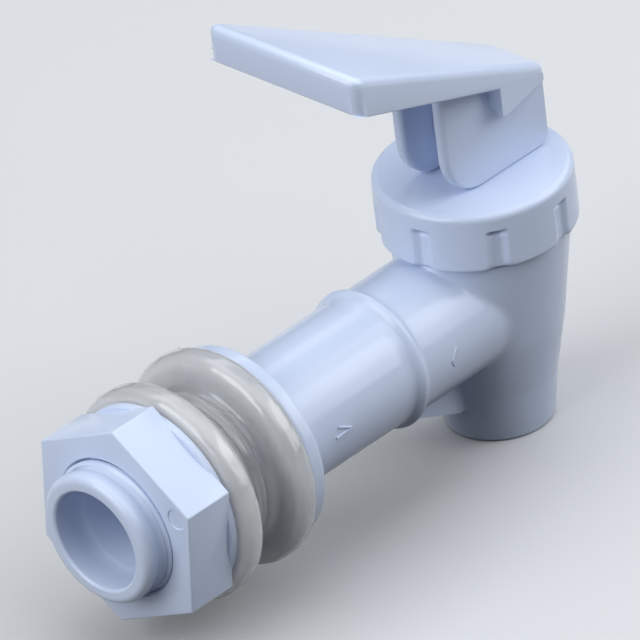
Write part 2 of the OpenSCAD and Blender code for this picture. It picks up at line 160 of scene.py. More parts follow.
class CapSizes(bpy.types.PropertyGroup):
    """Sizes of the screwed cap."""
    edge_round: length("Edge round", "Radius of the cap's top edge", 1)
    skirt_round: length("Skirt round", "Radius of the skirt's lower edge", 0.5)
    bore_radius: length("Bore radius", "Radius of the hole that guides the stem", 3.68)
    inside_radius: length("Inside radius", "Inside radius of the skirt", 11.35)
    top_thickness: length("Top thickness", "Thickness of the cap's top", 2.3)
    boss_radius: length("Boss radius", "Radius of the boss that guides the stem", 6.8)
    boss_length: length("Boss length", "Length of the boss under the cap's top", 2.5)
    groove_width: length("Groove width", "Width of a grip groove", 2.2)
    groove_depth: length("Groove depth", "Depth of a grip groove", 0.6)
    pocket_depth: length("Pocket depth", "Extra depth of the pocket at a groove's top", 0.7)
    groove_drop: length("Groove drop", "Distance from the cap's top to the grooves", 2.7)
    grooves: bpy.props.IntProperty(name="Grooves", description="Number of grip grooves",
                                   default=8, min=3, max=16)
    groove_turn: angle("Groove turn", "Turn of the grooves from the shank's direction", 10.5)


class LeverSizes(bpy.types.PropertyGroup):
    """Sizes of the lever."""
    tip_half_width: length("Tip half width", "Half the paddle's width at its tip", 13.95)
    rear_half_width: length("Rear half width", "Half the paddle's width at its rear", 4.85)
    rear: length("Rear", "Distance from the pivot to the lever's rear face", 10.4)
    reach: length("Reach", "Distance from the pivot to the lower edge of the tip", 32.7)
    top_slope: angle("Top slope", "Slope of the paddle's top", 27.4)
    under_slope: angle("Under slope", "Slope of the paddle's underside", 24)
    top_height: length("Top height", "Height of the paddle's top over the cap at the pivot", 17.5)
    under_height: length("Under height", "Height of its underside over the cap at the pivot", 14)
    tip_lean: angle("Tip lean", "Lean of the tip's end face, forwards at the top if negative", -0.4)
    corner_cut: length("Corner cut", "Reach of the rounding of the tip's upright corners", 2.15)
    tip_cut: length("Tip cut", "Reach of the rounding of the tip's sharp upper edge", 2)
    top_cut: length("Top cut", "Reach of the rounding of the paddle's upper side edges", 1.1)
    under_cut: length("Under cut", "Reach of the rounding of the paddle's lower edges", 0.35)
    cheek_half_width: length("Cheek half width", "Half the width over both cheeks", 4.8)
    cheek_thickness: length("Cheek thickness", "Thickness of a cheek", 1.85)
    cheek_front: length("Cheek front", "Distance from the pivot to the cheeks' front", 9.4)
    cheek_round: length("Cheek round", "Radius of the cheeks' front edges", 0.88)
    foot_round: length("Foot round", "Radius of the edges at the cheeks' feet", 0.3)
    pivot_height: length("Pivot height", "Height of the pivot over the cap", 6.5)
    pivot_radius: length("Pivot radius", "Radius of the blind sockets for the pivots", 1.75)
    socket_depth: length("Socket depth", "Distance from the middle to a socket's end", 4.15)
    heel_chamfer: length("Heel chamfer", "Chamfer at the cheeks' lower rear corner", 1.2)
    tooth_height: length("Tooth height", "Height of the side teeth's lower edge over the cap", 9.6)
    tooth_front: length("Tooth front", "Distance from the pivot to the teeth's front edge", 0)
    tooth_round: length("Tooth round", "Radius of the teeth's front corner", 1)


class NutSizes(bpy.types.PropertyGroup):
    """Sizes of the hexagonal lock nut."""
    across_flats: length("Across flats", "Width across the flats", 26.7)
    face_radius: length("Face radius", "Radius of the round bearing face at the back", 14.15)
    face_height: length("Face height", "Height of the bearing face", 0.5)
    bore_radius: length("Bore radius", "Radius at the roots of the nut's thread", 9.98)
    chamfer: length("Chamfer", "Depth of the chamfer at both ends of the bore", 0.3)
    edge_round: length("Edge round", "Radius of the hexagon's edges", 0.22)
    corner_turn: angle("Corner turn", "Direction of the first corner about the shank", -24.3)
    mark_radius: length("Mark radius", "Radius of the round ejector mark on the front face", 1.5)
    mark_depth: length("Mark depth", "Depth of the ejector mark", 0.15)


class WasherSizes(bpy.types.PropertyGroup):
    """Sizes of the silicone washers."""
    hub_radius: length("Hub radius", "Radius of the hub in the wall's hole", 11.1)
    bore_radius: length("Bore radius", "Radius of the washer's bore", 10.05)
    rim_round: length("Rim round", "Radius of the disc's rounded rim", 1.4)
    hub_fillet: length("Hub fillet", "Radius of the fillet between hub and disc", 1.3)
    ridge: length("Ridge", "Height of the sealing ridges round the hub", 0.3)
    thickness: length("Thickness", "Thickness of the disc", 3.8)


class SpringSizes(bpy.types.PropertyGroup):
    """Sizes of the return spring."""
    wire: length("Wire", "Diameter of the wire", 0.9)
    turns: bpy.props.IntProperty(name="Turns", description="Number of open turns", default=7, min=3)


class Finishes(bpy.types.PropertyGroup):
    """Colours and gloss of the finishes."""
    plastic: colour("Plastic", "White of the moulded plastic, faintly blue", (0.66, 0.745, 0.93))
    plastic_shade: colour("Plastic shade", "Second tone of the plastic's faint mottling",
                          (0.64, 0.73, 0.92))
    silicone: colour("Silicone", "Milky silicone of the washers", (0.88, 0.88, 0.91))
    silicone_shade: colour("Silicone shade", "Darker tone in the silicone", (0.8, 0.795, 0.79))
    steel: colour("Steel", "Drawn spring wire", (0.62, 0.62, 0.63))
    floor: colour("Floor", "Plain pale floor", (0.66, 0.665, 0.68))
    floor_bounce: colour("Floor bounce", "Tone of the light that the floor throws back",
                         (0.06, 0.06, 0.065))


class StageSizes(bpy.types.PropertyGroup):
    """The camera's place and the light."""
    azimuth: angle("Azimuth", "Compass direction that the camera looks from", 226.76)
    elevation: angle("Elevation", "Height of the camera over the horizon", 31.72)
    roll: angle("Roll", "Roll of the camera", -6.97)
    distance: length("Distance", "Distance from the camera to the object", 1800)
    lens: bpy.props.FloatProperty(name="Lens", description="Focal length in millimetres",
                                  default=758.5, min=1)
    overhead: power("Overhead light", "Power of the big panel overhead", 13.0)
    front: power("Front light", "Power of the softbox in front", 7.3)
    back: power("Back light", "Power of the softbox behind", 4.4)
    ambient: bpy.props.FloatProperty(name="Ambient", description="Strength of the room's light",
                                     default=0.02, min=0)


GROUPS = {
    "spigot_body": BodySizes, "spigot_cap": CapSizes, "spigot_lever": LeverSizes,
    "spigot_nut": NutSizes, "spigot_washer": WasherSizes, "spigot_spring": SpringSizes,
    "spigot_finish": Finishes, "spigot_stage": StageSizes,
}


class Millimetres:
    """Reads a property group's lengths in millimetres, and all else as it is."""

    def __init__(self, group):
        self.group = group

    def __getattr__(self, name):
        value = getattr(self.group, name)
        return value / MM if self.group.bl_rna.properties[name].subtype == "DISTANCE" else value


# Outlines

def arc(x, y, radius, start, end, steps=8):
    """Points on an arc about (x, y), from the angle start to the angle end, in degrees."""
    turns = [math.radians(start + (end - start) * i / steps) for i in range(steps + 1)]
    return [(x + radius * math.cos(t), y + radius * math.sin(t)) for t in turns]


def between(first, last, spacing):
    """Points after first up to last, no further apart than spacing."""
    first, last = Vector(first), Vector(last)
    count = max(1, math.ceil((last - first).length / spacing))
    return [tuple(first.lerp(last, i / count)) for i in range(1, count + 1)]


# Modelling by hand

def deselect():
    """Goes to object mode with nothing selected."""
    if bpy.context.object and bpy.context.object.mode != "OBJECT":
        bpy.ops.object.mode_set(mode="OBJECT")
    bpy.ops.object.select_all(action="DESELECT")


def select_only(obj):
    """Goes to object mode with obj alone selected and active."""
    deselect()
    obj.select_set(True)
    bpy.context.view_layer.objects.active = obj


def edit_all():
    """Goes to edit mode with all of the active object selected."""
    bpy.ops.object.mode_set(mode="EDIT")
    bpy.ops.mesh.select_all(action="SELECT")


def add(kind, name, **settings):
    """A new primitive of the kind named, alone selected."""
    deselect()
    getattr(bpy.ops.mesh, f"primitive_{kind}_add")(**settings)
    obj = bpy.context.object
    obj.name = obj.data.name = name
    return obj


def draw_line(name, points):
    """A new object with a line drawn through points, left in edit mode with all selected."""
    obj = add("plane", name, size=1, location=(0, 0, 0))
    edit_all()
    bpy.ops.mesh.merge(type="CENTER")
    bpy.ops.transform.translate(value=points[0])
    for here, there in zip(points, points[1:]):
        step = Vector(there) - Vector(here)
        bpy.ops.mesh.extrude_region_move(TRANSFORM_OT_translate={"value": step})
    bpy.ops.mesh.select_all(action="SELECT")
    return obj


def turned(name, outline, axis, centre=(0, 0, 0), steps=TURN_STEPS):
    """An outline of (radius, height) pairs turned about the axis Y or Z through centre."""
    along = Vector((0, 1, 0)) if axis == "Y" else Vector((0, 0, 1))
    out = Vector((1, 0, 0))
    points = [Vector(centre) + out * radius + along * height for radius, height in outline]
    obj = draw_line(name, points)
    bpy.ops.mesh.spin(steps=steps, angle=2 * math.pi, center=centre, axis=along)
    close_up(obj)
    return obj


def draw_loop(name, points):
    """A line drawn through points and back to the first of them."""
    obj = draw_line(name, points + points[:1])
    bpy.ops.mesh.remove_doubles(threshold=SAME_POINT)
    return obj


def prism(name, outline, low, high):
    """An outline of (y, z) pairs, drawn from x = low to x = high."""
    obj = draw_loop(name, [(low, y, z) for y, z in outline])
    bpy.ops.mesh.edge_face_add()
    bpy.ops.mesh.extrude_region_move(TRANSFORM_OT_translate={"value": (high - low, 0, 0)})
    close_up(obj)
    return obj


def close_up(obj):
    """Merges doubled points, turns the faces outwards and goes back to object mode."""
    bpy.ops.mesh.select_all(action="SELECT")
    bpy.ops.mesh.remove_doubles(threshold=DOUBLED)
    bpy.ops.mesh.normals_make_consistent(inside=False)
    bpy.ops.object.mode_set(mode="OBJECT")
    select_only(obj)


def fill_slits(obj):
    """Closes the hair-thin slits that a union leaves along a seam."""
    select_only(obj)
    edit_all()
    bpy.ops.mesh.fill_holes(sides=0)
    close_up(obj)


def close_ends(obj):
    """Closes the two open ends of a coil or a thread's ridge."""
    select_only(obj)
    bpy.ops.object.mode_set(mode="EDIT")
    bpy.ops.mesh.select_all(action="DESELECT")
    bpy.ops.mesh.select_non_manifold()
    bpy.ops.mesh.edge_face_add()
    close_up(obj)


def modify(obj, kind, **settings):
    """Adds one modifier to obj and applies it."""
    select_only(obj)
    modifier = obj.modifiers.new(kind.title(), kind)
    for key, value in settings.items():
        setattr(modifier, key, value)
    bpy.ops.object.modifier_apply(modifier=modifier.name)


def combine(obj, tools, operation):
    """Unites obj with tools or cuts them from it, and removes the tools."""
    for tool in tools:
        modify(obj, "BOOLEAN", operation=operation, object=tool, solver="EXACT")
        bpy.data.objects.remove(tool)
    modify(obj, "WELD", merge_threshold=WELD)


def round_edges(obj, width, share_of, segments=4):
    """Rounds each edge by the share of width that share_of gives for its ends a and b."""
    mesh = obj.data
    weights = mesh.attributes.get("bevel_weight_edge")
    if weights is None:
        weights = mesh.attributes.new("bevel_weight_edge", "FLOAT", "EDGE")
    for edge in mesh.edges:
        a, b = (mesh.vertices[i].co for i in edge.vertices)
        weights.data[edge.index].value = share_of(a, b)
    modify(obj, "BEVEL", width=width, segments=segments, limit_method="WEIGHT")
    rest = obj.data.attributes.get("bevel_weight_edge")
    if rest is not None:
        obj.data.attributes.remove(rest)


def finish_piece(obj, body, slot, *nodes):
    """Brings a piece to metres, shades it and lets it ride, in place of the nodes named."""
    select_only(obj)
    obj.scale = (MM, MM, MM)
    bpy.ops.object.transform_apply(location=True, rotation=True, scale=True)
    bpy.ops.object.shade_smooth_by_angle(angle=SHARP_ANGLE)
    obj.data.materials.clear()
    obj.data.materials.append(finish_of(slot))
    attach(obj, body)
    if nodes:
        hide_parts(*nodes)


# Materials

def new_material(name, **values):
    """A node material, its tree, its principled shader with values set, and the object's place."""
    material = bpy.data.materials.new(name)
    material.use_nodes = True
    tree = material.node_tree
    tree.nodes.clear()
    output = tree.nodes.new("ShaderNodeOutputMaterial")
    shader = tree.nodes.new("ShaderNodeBsdfPrincipled")
    tree.links.new(shader.outputs["BSDF"], output.inputs["Surface"])
    for value_name, value in values.items():
        shader.inputs[value_name.replace("_", " ")].default_value = value
    place = tree.nodes.new("ShaderNodeTexCoord")
    return material, tree, shader, place.outputs["Object"]


def noise(tree, place, scale, detail=3.0, stretch=None):
    """Noise over the object, with features about 1/scale metres across."""
    node = tree.nodes.new("ShaderNodeTexNoise")
    node.inputs["Scale"].default_value = scale
    node.inputs["Detail"].default_value = detail
    if stretch is not None:
        mapping = tree.nodes.new("ShaderNodeMapping")
        mapping.inputs["Scale"].default_value = stretch
        tree.links.new(place, mapping.inputs["Vector"])
        place = mapping.outputs["Vector"]
    tree.links.new(place, node.inputs["Vector"])
    return node.outputs["Fac"]


def spread(tree, value, low, high, start=0.35, end=0.65):
    """The value, brought from the range start to end into the range low to high."""
    node = tree.nodes.new("ShaderNodeMapRange")
    node.inputs["From Min"].default_value = start
    node.inputs["From Max"].default_value = end
    node.inputs["To Min"].default_value = low
    node.inputs["To Max"].default_value = high
    tree.links.new(value, node.inputs["Value"])
    return node.outputs["Result"]


def two_tones(tree, shader, factor, first, second):
    """Colours the shader with a mixture of first and second."""
    node = tree.nodes.new("ShaderNodeMix")
    node.data_type = "RGBA"
    tree.links.new(factor, node.inputs["Factor"])
    node.inputs["A"].default_value = first
    node.inputs["B"].default_value = second
    tree.links.new(node.outputs["Result"], shader.inputs["Base Color"])


def bump(tree, shader, height, depth, strength):
    """Lets the surface follow a height, with a depth in metres."""
    node = tree.nodes.new("ShaderNodeBump")
    node.inputs["Distance"].default_value = depth
    node.inputs["Strength"].default_value = strength
    tree.links.new(height, node.inputs["Height"])
    tree.links.new(node.outputs["Normal"], shader.inputs["Normal"])


def roughen(tree, shader, value, *limits):
    """Lets the shader's roughness follow a value, as spread does."""
    tree.links.new(spread(tree, value, *limits), shader.inputs["Roughness"])


def darker(tone, share):
    """A colour with its red, green and blue brought down to a share of what they were."""
    return [part * share for part in tone[:3]] + [1]


def moulded_plastic(finish):
    """White moulded plastic: faint mottling, shallow flow waves and uneven gloss."""
    material, tree, shader, place = new_material("moulded_plastic", IOR=1.5)
    mottling = noise(tree, place, 60, 2)
    two_tones(tree, shader, spread(tree, mottling, 0, 1, 0.2, 0.8),
              finish.plastic, finish.plastic_shade)
    gloss = noise(tree, place, 90, 0)
    roughen(tree, shader, gloss, 0.16, 0.24, 0.2, 0.8)
    flow = noise(tree, place, 110, 0)
    bump(tree, shader, flow, depth=0.00012, strength=0.3)
    return material


def milky_silicone(finish):
    """Milky translucent silicone: soft haze inside and a glossy, slightly wavy skin."""
    material, tree, shader, place = new_material(
        "milky_silicone", IOR=1.45, Transmission_Weight=0.38,
        Subsurface_Weight=1.0, Subsurface_Radius=(1.0, 0.97, 0.92), Subsurface_Scale=0.007,
        Coat_Weight=0.9, Coat_Roughness=0.06)
    haze = noise(tree, place, 120, 3)
    two_tones(tree, shader, spread(tree, haze, 0, 1, 0.25, 0.75),
              finish.silicone, finish.silicone_shade)
    gloss = noise(tree, place, 180, 1)
    roughen(tree, shader, gloss, 0.08, 0.2, 0.3, 0.7)
    waves = noise(tree, place, 210, 2, stretch=(1, 1.6, 1))
    bump(tree, shader, waves, depth=0.0011, strength=0.5)
    return material


def drawn_steel(finish):
    """Drawn spring wire with fine draw marks."""
    material, tree, shader, place = new_material("drawn_steel", Metallic=1.0)
    streaks = noise(tree, place, 1200, 5, stretch=(1, 1, 6))
    two_tones(tree, shader, spread(tree, streaks, 0, 1), finish.steel, darker(finish.steel, 0.82))
    roughen(tree, shader, streaks, 0.18, 0.34)
    bump(tree, shader, streaks, depth=0.00002, strength=0.4)
    return material


def floor_paper(finish):
    """Plain pale floor with a barely visible tooth, which throws little light back up."""
    material, tree, shader, place = new_material("floor_paper", Roughness=0.85)
    clouds = noise(tree, place, 6, 3)
    two_tones(tree, shader, spread(tree, clouds, 0, 1), finish.floor, darker(finish.floor, 0.975))
    grain = noise(tree, place, 1500, 2)
    bump(tree, shader, grain, depth=0.00003, strength=0.2)
    dark = tree.nodes.new("ShaderNodeBsdfDiffuse")
    dark.inputs["Color"].default_value = finish.floor_bounce
    show_to_eye(tree, dark.outputs["BSDF"], shader.outputs["BSDF"],
                tree.nodes["Material Output"].inputs["Surface"])
    return material


def show_to_eye(tree, other, seen, output):
    """Gives the shader seen to camera, glossy and transmission rays, and other to the rest."""
    path = tree.nodes.new("ShaderNodeLightPath")
    total = path.outputs["Is Camera Ray"]
    for kind in ("Is Glossy Ray", "Is Transmission Ray"):
        plus = tree.nodes.new("ShaderNodeMath")
        plus.operation = "ADD"
        plus.use_clamp = True
        tree.links.new(total, plus.inputs[0])
        tree.links.new(path.outputs[kind], plus.inputs[1])
        total = plus.outputs["Value"]
    mix = tree.nodes.new("ShaderNodeMixShader")
    tree.links.new(total, mix.inputs["Fac"])
    tree.links.new(other, mix.inputs[1])
    tree.links.new(seen, mix.inputs[2])
    tree.links.new(mix.outputs["Shader"], output)


MATERIALS = {"white_plastic": moulded_plastic, "clear_silicone": milky_silicone,
             "inner_silicone": milky_silicone, "spring_steel": drawn_steel}


def finish_of(slot):
    """The material of one of the record's slots, made when it is first asked for."""
    make = MATERIALS[slot]
    return bpy.data.materials.get(make.__name__) or make(bpy.context.scene.spigot_finish)


# Tap body

# Flank of the rib ring, as shares of its height and of half its width
RING_FLANK = ((0.3, 0.68), (0.75, 0.44), (0.95, 0.2), (1, 0))
# Start of the pipe inside the barrel, from the barrel's axis
PIPE_START = 0.5
# Depth of the neck between the nut and the plain collar, and where its slope starts and ends,
# measured from the nut
NECK_DEPTH, NECK_START, NECK_END = 0.22, 0.4, 1.0


def shank_outline(s):
    """Outside of the pipe, rib ring, flange and shank, as (radius, y) pairs."""
    flange_back = FLANGE_FRONT - s.flange_thickness
    ring_y = AXIS_Y + s.ring_place
    foot, high = s.ring_width / 2, s.ring_radius - s.pipe_radius
    swell = [(s.pipe_radius + high * share, foot * out) for share, out in RING_FLANK]
    line = [(0, AXIS_Y + PIPE_START), (s.pipe_radius, AXIS_Y + PIPE_START)]
    line += between(line[-1], (s.pipe_radius, ring_y - foot), 0.5)
    line += [(radius, ring_y - out) for radius, out in swell]
    line += [(radius, ring_y + out) for radius, out in reversed(swell[:-1])]
    line += [(s.pipe_radius, ring_y + foot)]
    line += between(line[-1], (s.pipe_radius, flange_back - s.flange_fillet), 2.0)[:-1]
    line += arc(s.pipe_radius + s.flange_fillet, flange_back - s.flange_fillet,
                s.flange_fillet, 180, 90)
    edge = s.flange_radius - s.flange_round
    line += arc(edge, flange_back + s.flange_round, s.flange_round, -90, 0, 6)
    line += arc(edge, FLANGE_FRONT - s.flange_round, s.flange_round, 0, 90, 6)
    line += [(s.pipe_radius, FLANGE_FRONT)]
    line += between(line[-1], (s.pipe_radius, NUT_HIGH.y - 0.6), 4.0)
    neck, collar = s.pipe_radius - NECK_DEPTH, TUBE_END - s.collar_length
    line += [(s.pipe_radius, NUT_HIGH.y + NECK_START), (neck + 0.1, NUT_HIGH.y + 0.75),
             (neck, NUT_HIGH.y + NECK_END), (neck, collar - 0.12),
             (s.pipe_radius - 0.06, collar), (s.pipe_radius, collar + 0.08)]
    line += arc(s.pipe_radius - s.lip_round, TUBE_END - s.lip_round, s.lip_round, 0, 90)
    return line + [(0, TUBE_END)]


def barrel_outline(s):
    """Outside of the spout, barrel and neck, as (radius, z) pairs."""
    bottom, edge, corner = BODY_LOW.z, 0.25, 0.08
    line = [(0, bottom)] + arc(s.spout_radius - s.spout_round, bottom + s.spout_round,
                               s.spout_round, -90, 0, 5)
    for point in ((s.throat_radius, -s.throat_depth), (s.waist_radius, -s.waist_depth),
                  (s.shoulder_radius, s.shoulder_height - edge)):
        line += between(line[-1], point, 0.5)
    return line + [(s.shoulder_radius - corner, s.shoulder_height - corner),
                   (s.shoulder_radius - edge, s.shoulder_height),
                   (s.neck_radius, s.shoulder_height),
                   (s.neck_radius, BODY_HIGH.z), (0, BODY_HIGH.z)]


# Start of the web, from the barrel's axis
WEB_START = 2


def web_edge(s, y):
    """Height of the web's slanting lower edge."""
    low_y, high_y = AXIS_Y + s.throat_radius, AXIS_Y + s.ring_place
    share = min(1, max(0, (y - low_y) / (high_y - low_y)))
    return -s.web_drop + share * (s.web_drop - s.pipe_radius)


def web_plate(s):
    """Web between the pipe and the spout: a fine grid, fitted to its outline and thickened."""
    first, last = AXIS_Y + WEB_START, AXIS_Y + s.ring_place
    top = -s.pipe_radius / 2
    columns, rows, layers = 44, 18, 7
    web = add("grid", "web", x_subdivisions=columns, y_subdivisions=rows, size=1)
    for vertex in web.data.vertices:
        y = first + (vertex.co.x + 0.5) * (last - first)
        low = web_edge(s, y)
        vertex.co = (-s.web_thickness / 2, y, low + (vertex.co.y + 0.5) * (top - low))
    edit_all()
    step = (s.web_thickness / layers, 0, 0)
    for _ in range(layers):
        bpy.ops.mesh.extrude_region_move(TRANSFORM_OT_translate={"value": step})
    bpy.ops.mesh.select_all(action="SELECT")
    bpy.ops.mesh.normals_make_consistent(inside=False)
    bpy.ops.object.mode_set(mode="OBJECT")
    bm = bmesh.new()
    bm.from_mesh(web.data)
    # The extruded sheets between the two sides lie inside the plate
    inner = [f for f in bm.faces if abs(f.normal.x) > 0.9
             and abs(abs(f.calc_center_median().x) - s.web_thickness / 2) > 0.01]
    bmesh.ops.delete(bm, geom=inner, context="FACES")
    bm.to_mesh(web.data)
    bm.free()
    return web


def blended(distances, reach):
    """Soft minimum of several distances: rounds the hollow corner where two surfaces meet."""
    result = distances[0]
    for other in distances[1:]:
        overlap = max(reach - abs(result - other), 0) / reach
        result = min(result, other) - overlap * overlap * reach / 4
    return result


def body_distances(s, point):
    """Distances of a point from the pipe, the barrel and the web, where they meet."""
    across, along, height = point
    pipe = max(math.hypot(across, height) - s.pipe_radius, AXIS_Y - along)
    radius = math.hypot(across, along - AXIS_Y)
    rings = ((s.shoulder_height, s.shoulder_radius), (-s.waist_depth, s.waist_radius),
             (-s.throat_depth, s.throat_radius), (BODY_LOW.z, s.spout_radius))
    # Goes down the barrel to the stretch that the point lies beside
    for (top, high), (foot, low) in zip(rings, rings[1:]):
        run = top - foot
        if height > foot:
            break
    wall = low + (high - low) * (height - foot) / run
    barrel = (radius - wall) * math.cos(math.atan2(high - low, run))
    slope = math.atan2(s.web_drop - s.pipe_radius, s.ring_place - s.throat_radius)
    side = abs(across) - s.web_thickness / 2
    under = (web_edge(s, along) - height) * math.cos(slope)
    ends = max(along - (AXIS_Y + s.ring_place), AXIS_Y + WEB_START - along)
    web = max(side, under, ends, height + s.pipe_radius / 2)
    return pipe, barrel, web


def soften_junction(obj, s):
    """Moves the points near the hollow corners out to a soft fillet.

    Each point goes along the slope of the blended distance to where that is 0. In between, the
    points are smoothed among themselves.
    """
    near_y = AXIS_Y + s.ring_place - s.ring_width
    top, bottom = s.shoulder_height - 0.3, BODY_LOW.z + 2
    step, doubled, on_surface, too_flat, rounds = 0.01, 0.06, 0.05, 0.3, 5

    def distance(point):
        return blended(body_distances(s, point), s.blend)

    bm = bmesh.new()
    bm.from_mesh(obj.data)
    bmesh.ops.remove_doubles(bm, verts=bm.verts, dist=doubled)
    moving = []
    for vertex in bm.verts:
        if vertex.co.y <= near_y and bottom <= vertex.co.z <= top:
            nearest = sorted(body_distances(s, vertex.co))
            if abs(nearest[0]) < on_surface and nearest[1] < s.blend:
                moving.append(vertex)
    for turn in range(rounds):
        for vertex in moving:
            for _ in range(3):
                here = distance(vertex.co)
                slope = Vector([(distance(vertex.co + Vector(d)) - here) / step
                                for d in ((step, 0, 0), (0, step, 0), (0, 0, step))])
                if slope.length > too_flat:
                    vertex.co -= slope * (here / slope.length_squared)
        if turn < rounds - 1:
            bmesh.ops.smooth_vert(bm, verts=moving, factor=0.4,
                                  use_axis_x=True, use_axis_y=True, use_axis_z=True)
    bm.to_mesh(obj.data)
    bm.free()


def water_ways(s):
    """The hollows of the body: water way with its mouth, chamber with its seat, and outlet."""
    mouth_y = TUBE_END - s.mouth_depth
    lip, rim, edge = 0.5, 0.3, 0.2
    way = [(0, AXIS_Y), (s.bore_radius, AXIS_Y), (s.bore_radius, mouth_y - 0.9),
           ((s.bore_radius + s.mouth_radius) / 2, mouth_y - 0.4), (s.mouth_radius, mouth_y)]
    way += between(way[-1], (s.mouth_radius, TUBE_END - lip), 1.5)
    way += arc(s.mouth_radius + lip, TUBE_END - lip, lip, 180, 105, 5)[1:]
    way += [(s.mouth_radius + lip, TUBE_END + 1), (0, TUBE_END + 1)]
    seat = -s.floor_depth + s.lip_height
    lip_radius = s.seat_radius + s.lip_height
    bottom = BODY_LOW.z
    chamber = [(0, bottom - 1), (s.outlet_radius + rim, bottom - 1),
               (s.outlet_radius + rim, bottom), (s.outlet_radius, bottom + rim),
               (s.outlet_radius, bottom + s.outlet_length),
               (s.seat_radius, bottom + s.outlet_length), (s.seat_radius, seat - edge),
               (s.seat_radius + edge, seat), (lip_radius - edge, seat), (lip_radius, seat - edge),
               (lip_radius, -s.floor_depth), (s.well_radius, -s.floor_depth),
               (s.well_radius, -s.well_depth), (s.chamber_radius, -s.well_depth),
               (s.chamber_radius, BODY_HIGH.z + 1), (0, BODY_HIGH.z + 1)]
    return [turned("water_way", way, "Y"), turned("chamber", chamber, "Z", (0, AXIS_Y, 0))]


def wedge_on_pipe(s, start, end, width, depth):
    """A small wedge on the pipe's wall from start to end, as (y, angle) pairs.

    It is wide at the surface and narrow at depth, which is inwards, or outwards if negative.
    """
    def on_pipe(y, degrees):
        turn = math.radians(degrees)
        return Vector((s.pipe_radius * math.cos(turn), y, s.pipe_radius * math.sin(turn)))

    ends = [on_pipe(*start), on_pipe(*end)]
    along = (ends[1] - ends[0]).normalized()
    outward = Vector((ends[0].x, 0, ends[0].z)).normalized()
    across = along.cross(outward)
    wedge = add("cube", "wedge", size=1)
    # The wide side lies 0.3 mm beyond the wall's face, so that it is never flush with it
    root = math.copysign(0.3, depth)
    for vertex in wedge.data.vertices:
        base = ends[0] if vertex.co.x < 0 else ends[1]
        wide = vertex.co.z > 0
        aside = math.copysign(width / 2 * (1.3 if wide else 0.35), vertex.co.y)
        vertex.co = base + outward * (root if wide else -depth) + across * aside
    bpy.ops.object.mode_set(mode="EDIT")
    close_up(wedge)
    return wedge


# The nick on the pipe's side: its two ends, as (y, angle round the pipe), its width and its depth
NICK = ((-36.3, 181.5), (-36.8, 187.5), 0.28, 0.25)
# Raised flash lines on the same side, written in the same way
FLASH = (
    ((-14.27, 172.3), (-16.6, 179.2), 0.45, -0.24),
    ((-13.64, 180.5), (-16.5, 179.6), 0.45, -0.24),
    ((-37.6, 171), (-36.45, 180), 0.4, -0.17),
)


# Half the width of a thread's ridge at its foot and at its crest, and how far its foot is sunk
RIDGE_FOOT, RIDGE_CREST, RIDGE_SUNK = 0.62, 0.26, 0.05
# Height of the nut's ridge, and its distance from the bearing face and from the front face
RIDGE_HEIGHT, NUT_RIDGE_START, NUT_RIDGE_END = 0.4, 0.8, 0.75


def thread_ridge(name, foot_radius, crest_radius, pitch, low, high):
    """A right-hand thread ridge about the shank's axis, from y = low to y = high."""
    turns = (high - low) / pitch
    outline = [(foot_radius, -RIDGE_FOOT), (crest_radius, -RIDGE_CREST),
               (crest_radius, RIDGE_CREST), (foot_radius, RIDGE_FOOT)]
    steps = round(turns * 72)
    ridge = draw_loop(name, [(radius, low + y, 0) for radius, y in outline])
    bpy.ops.object.mode_set(mode="OBJECT")
    modify(ridge, "SCREW", axis="Y", angle=2 * math.pi * turns, screw_offset=high - low,
           steps=steps, render_steps=steps, use_merge_vertices=False, iterations=1)
    # The ridge runs out into its foot at both ends
    fade = pitch * 0.12
    for vertex in ridge.data.vertices:
        radius = math.hypot(vertex.co.x, vertex.co.z)
        turn = (math.atan2(-vertex.co.z, vertex.co.x) / (2 * math.pi)) % 1
        middle = low + (round((vertex.co.y - low) / pitch - turn) + turn) * pitch
        keep = min(1, max(0, min(middle - low, high - middle) / fade))
        wanted = foot_radius + (radius - foot_radius) * keep
        vertex.co.x *= wanted / radius
        vertex.co.z *= wanted / radius
    close_ends(ridge)
    if crest_radius < foot_radius:
        # The thin ends of a ridge that points inwards turn its faces inside out
        edit_all()
        bpy.ops.mesh.flip_normals()
        bpy.ops.object.mode_set(mode="OBJECT")
    return ridge


class SPIGOT_OT_tap_body(bpy.types.Operator):
    """Tap body: pipe, flange, shank, barrel and spout in one moulding, and its thread"""
    bl_idname = "spigot.tap_body"
    bl_label = "Tap body"

    def execute(self, context):
        s = Millimetres(context.scene.spigot_body)
        body = turned("tap_moulding", barrel_outline(s), "Z", (0, AXIS_Y, 0))
        pipe = turned("pipe", shank_outline(s), "Y")
        combine(body, [pipe, web_plate(s)], "UNION")
        fill_slits(body)
        soften_junction(body, s)
        combine(body, water_ways(s), "DIFFERENCE")
        combine(body, [wedge_on_pipe(s, *NICK)], "DIFFERENCE")
        combine(body, [wedge_on_pipe(s, *line) for line in FLASH], "UNION")
        fill_slits(body)
        finish_piece(body, "tap", "white_plastic", "tap_body")
        # Half a turn out of step with the nut's ridge, so that each ridge lies in the other's gap
        start = NUT_LOW.y + NUT_RIDGE_START - 7.5 * s.thread_pitch
        ridge = thread_ridge("shank_thread", s.pipe_radius - RIDGE_SUNK, s.thread_radius,
                             s.thread_pitch, start, NUT_HIGH.y + s.thread_out)
        finish_piece(ridge, "tap", "white_plastic")
        return {"FINISHED"}


# Cap

